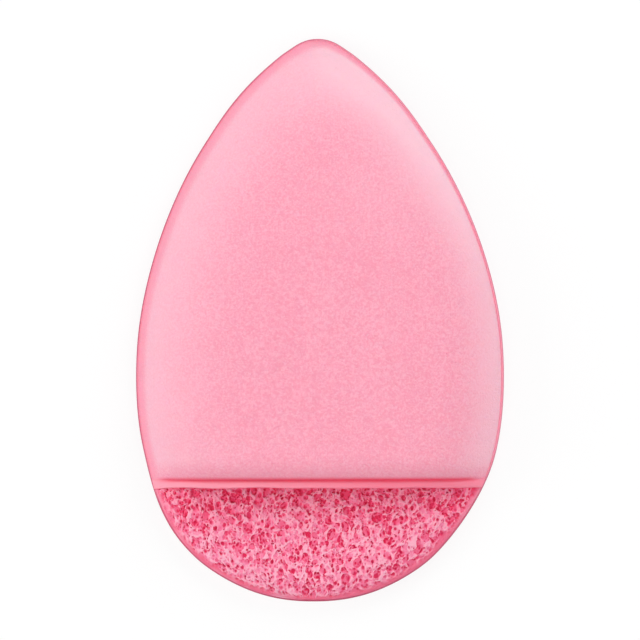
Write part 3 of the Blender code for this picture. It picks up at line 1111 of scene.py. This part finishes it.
# %% Where the rim is darkest, with painted shade
RIGHT_DARKNESS, RIGHT_START = 0.8, -0.1
LEFT_DARKNESS, LEFT_START = 1.0, -0.9
TAIL_DARKNESS, TAIL_START = 1.0, -0.4
BOTTOM_GAIN, BOTTOM_SHARE = 1.5, 0.6
MOUTH_REACH = 0.012
TAIL_SHADE_LENGTH = 0.004


def paint_rim(mesh):
    """Stores how far the melted edge's rose, partly painted shade, reaches round the bead, and the tail's
    shade.
    """
    turn = np.linspace(0, 2 * math.pi, RIM_SECTION, endpoint=False)
    outwardness = np.cos(np.tile(turn, RIM_STATIONS))
    places = coordinates(mesh)
    x, y = places[:, 0], places[:, 1]
    tailness = ease((FREE_Y + MOUTH_REACH - y) / MOUTH_REACH)
    bottomness = tailness * (1 - ease(np.abs(x) / (BOTTOM_SHARE * HALF_WIDTH)))

    def around(right, left, tail):
        side = right + (left - right) * leftness(x)
        return side + (tail - side) * tailness

    # Painted shade on the outer side, furthest round at the left and the tail, with the melted edge's rose.
    darkness = around(RIGHT_DARKNESS, LEFT_DARKNESS, TAIL_DARKNESS)
    start = around(RIGHT_START, LEFT_START, TAIL_START) - BOTTOM_GAIN * bottomness
    paint(mesh, "crease", darkness * ease((outwardness - start) / (1 - start)))
    # Painted shade along the tail, where the bead is turned from the lamps.
    paint(mesh, "pressed_and_shade", ease((FREE_Y - y) / TAIL_SHADE_LENGTH))


paint_rim(rim_mesh)
piece_from(rim_mesh, "fused_foam", fused_foam, "edge_weld")

# %% [markdown]
# ## The floor
# The glove lies on plain white, which still takes a little of its shadow. More light would whiten the
# floor too, but it would bleach the pinks. So the floor glows for the camera alone, and for rays that
# come off or through something glossy.

# %% The floor
FLOOR_SIZE = 4.0
FLOOR_GREY = 0.92
FLOOR_GLOW = 0.86
SEEN_BY = ("Is Camera Ray", "Is Glossy Ray", "Is Transmission Ray")


def floor_material():
    finish = Finish("plain_white_floor", Roughness=0.9, Base_Color=rgb(FLOOR_GREY, FLOOR_GREY, FLOOR_GREY))
    camera, glossy, through = [finish.node("ShaderNodeLightPath", output=ray) for ray in SEEN_BY]
    seen = (camera + glossy + through).clamped() * FLOOR_GLOW
    glow = finish.node("ShaderNodeEmission", {}, {"Color": rgb(1, 1, 1), "Strength": 1.0})
    paper = Wire(finish, finish.shader.outputs[0])
    mixed = finish.node("ShaderNodeMixShader", {}, {0: seen, 1: paper, 2: glow})
    finish.plug(finish.tree.nodes["Material Output"].inputs["Surface"], mixed)
    return finish.material


bm = bmesh.new()
bmesh.ops.create_grid(bm, x_segments=1, y_segments=1, size=FLOOR_SIZE / 2)
floor_mesh = bpy.data.meshes.new("white_floor")
bm.to_mesh(floor_mesh)
bm.free()
floor_mesh.materials.append(floor_material())
floor = bpy.data.objects.new("white_floor", floor_mesh)
bpy.context.scene.collection.objects.link(floor)
print("floor:", FLOOR_SIZE, "m wide")

# %% [markdown]
# ## The light
# Small lamps would draw hard shadows on foam. Four large soft ones stand round the glove, as in a photo
# tent: the brightest are beyond its tip and at its left, and a weak pale world fills the rest.


# %% Lamps
def softbox(name, azimuth, elevation, distance, size, power):
    """A square lamp that looks at the glove from an azimuth, where 0 is beyond its round end."""
    lamp = bpy.data.lights.new(name, "AREA")
    lamp.shape = "SQUARE"
    lamp.size = size
    lamp.energy = power
    box = bpy.data.objects.new(name, lamp)
    turn, rise = math.radians(azimuth), math.radians(elevation)
    aim = Vector((math.sin(turn) * math.cos(rise), -math.cos(turn) * math.cos(rise), math.sin(rise)))
    box.location = aim * distance
    box.rotation_mode = "QUATERNION"
    box.rotation_quaternion = aim.to_track_quat("Z", "Y")
    bpy.context.scene.collection.objects.link(box)
    print(f"{name}: {power} W")


softbox("key_beyond_tip", azimuth=155, elevation=36, distance=1.0, size=0.7, power=5.15)
softbox("fill_left", azimuth=272, elevation=28, distance=1.0, size=0.7, power=5.35)
softbox("fill_right", azimuth=80, elevation=24, distance=1.0, size=0.7, power=2.1)
softbox("overhead", azimuth=0, elevation=66, distance=1.2, size=1.0, power=4.75)

# %% The pale world
WORLD_STRENGTH = 0.35

world = bpy.data.worlds.new("pale_studio")
bpy.context.scene.world = world
world.use_nodes = True
background = world.node_tree.nodes["Background"]
background.inputs["Color"].default_value = rgb(1, 1, 1)
background.inputs["Strength"].default_value = WORLD_STRENGTH
print("world strength:", WORLD_STRENGTH)

# %% [markdown]
# ## The camera
# It looks straight down from far off through a long lens, so that the drop's outline comes out as flat
# as in a product picture. Its height follows from how much of the picture the drop fills.

# %% Camera
PICTURE_ROWS = 640
DROP_ROWS = 562
SENSOR = 0.036
LENS = 0.8

frame_width = (rim_high.y - rim_low.y) * PICTURE_ROWS / DROP_ROWS
camera_height = SPONGE_EDGE_TOP + frame_width * LENS / SENSOR
camera_data = bpy.data.cameras.new("overhead_camera")
camera_data.sensor_width = SENSOR * 1000
camera_data.lens = LENS * 1000
camera = bpy.data.objects.new("overhead_camera", camera_data)
camera.location = (0, (rim_high.y + rim_low.y) / 2, camera_height)
bpy.context.scene.collection.objects.link(camera)
bpy.context.scene.camera = camera
bpy.context.scene.view_settings.view_transform = "Standard"
print("camera", round(camera_height, 3), "m above the floor")

# %% Bring the scene up to date
bpy.context.view_layer.update()
